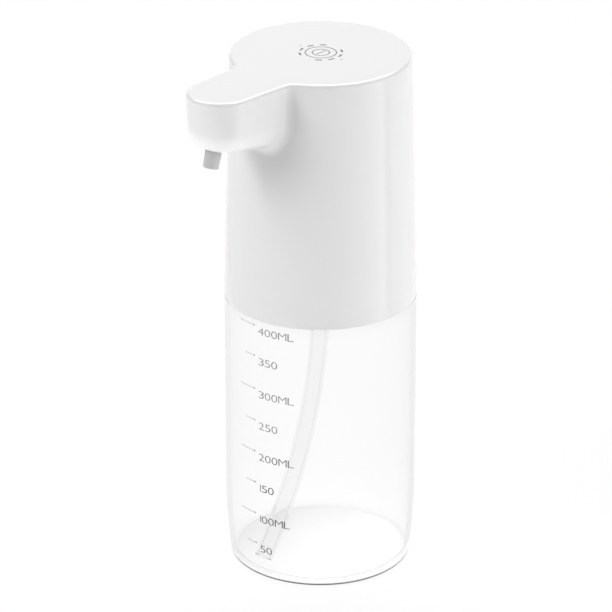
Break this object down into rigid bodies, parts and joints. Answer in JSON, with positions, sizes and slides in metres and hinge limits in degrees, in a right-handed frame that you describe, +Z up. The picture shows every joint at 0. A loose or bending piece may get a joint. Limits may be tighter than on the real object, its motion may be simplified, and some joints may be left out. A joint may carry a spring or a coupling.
{
  "type": "soap dispenser",
  "caption": "Free-standing soap dispenser with a white pump head and short rounded spout screwed onto a clear bottle with a volume scale and a dip tube.",
  "frame": {"origin": "centre of the bottle's flat base", "axes": "+Z up along the bottle's axis, -Y along the spout, +X to the right seen from the back of the spout"},
  "size_m": [0.073, 0.1028, 0.205],
  "materials": {
    "clear_bottle": "clear, glossy",
    "white_shell": "white, satin gloss",
    "clear_tube": "translucent, satin",
    "grey_nozzle": "grey, soft, satin",
    "soft_clear": "milky silicone",
    "soft_white": "white silicone, matte",
    "soft_black": "black, matte",
    "inner_white": "white, matte",
    "pump_grey": "dark grey, matte",
    "gear_cream": "cream, satin",
    "screw_steel": "plated steel",
    "bright_steel": "polished steel",
    "motor_steel": "drawn steel, satin",
    "rotor_steel": "stacked steel",
    "magnet_dark": "dark, matte",
    "black_plastic": "black, matte",
    "dark_lens": "dark, glossy",
    "board_green": "green lacquer",
    "foam_grey": "dark foam",
    "light_guide": "milky",
    "cell_wrap": "blue sleeve",
    "wire_red": "red, satin",
    "wire_black": "black, satin"
  },
  "bodies": {
    "bottle": {"bottle": "clear_bottle"},
    "gasket": {"bottle_gasket": "soft_clear"},
    "head": {"head_shell": "white_shell", "base_plate": "inner_white", "base_screws": "screw_steel", "base_seal": "soft_clear", "vent_valve": "soft_clear", "dip_tube": "clear_tube", "pump_cover": "pump_grey", "pump_body": "pump_grey", "pump_screws": "screw_steel", "idler_pin": "bright_steel", "shaft_seal": "soft_black", "motor_can": "motor_steel", "motor_end_cap": "black_plastic", "motor_magnets": "magnet_dark", "motor_screws": "screw_steel", "outlet_hose": "soft_clear", "nozzle": "grey_nozzle", "nozzle_elbow": "inner_white", "sensor_lens": "dark_lens", "sensor_board": "board_green", "touch_board": "board_green", "touch_pad": "foam_grey", "light_ring": "light_guide", "touch_screws": "screw_steel", "control_board": "board_green", "control_chips": "black_plastic", "battery_cell": "cell_wrap", "battery_cradle": "inner_white", "cradle_screws": "screw_steel", "charge_board": "board_green", "charge_port": "bright_steel", "motor_leads": "wire_red", "battery_leads": "wire_black"},
    "pump_drive": {"motor_shaft": "bright_steel", "motor_rotor": "rotor_steel", "drive_gear": "gear_cream"},
    "pump_idler": {"idler_gear": "gear_cream"},
    "inlet_ball": {"check_ball": "bright_steel"},
    "port_flap": {"port_cover": "soft_white"}
  },
  "joints": [
    {"name": "head_turn", "type": "hinge", "parent": "bottle", "child": "gasket", "pos_m": [0, 0, 0.1175], "axis": [0, 0, 1], "range_deg": [0, 1440]},
    {"name": "head_lift", "type": "slide", "parent": "gasket", "child": "head", "axis": [0, 0, 1], "range_m": [0, 0.1281]},
    {"name": "pump_spin", "type": "hinge", "parent": "head", "child": "pump_drive", "pos_m": [-0.0063, -0.008, 0.1286], "axis": [0, 0, 1], "continuous": true},
    {"name": "idler_spin", "type": "hinge", "parent": "head", "child": "pump_idler", "pos_m": [0.0063, -0.008, 0.1286], "axis": [0, 0, 1], "continuous": true},
    {"name": "ball_lift", "type": "slide", "parent": "head", "child": "inlet_ball", "axis": [0, 0, 1], "range_m": [0, 0.0015]},
    {"name": "flap_swing", "type": "hinge", "parent": "head", "child": "port_flap", "pos_m": [0, 0.03545, 0.133], "axis": [1, 0, 0], "range_deg": [0, 100]}
  ],
  "couplings": [
    {"joint": "head_lift", "follows": "head_turn", "m_per_rad": 0.005093},
    {"joint": "idler_spin", "follows": "pump_spin", "ratio": -1}
  ]
}
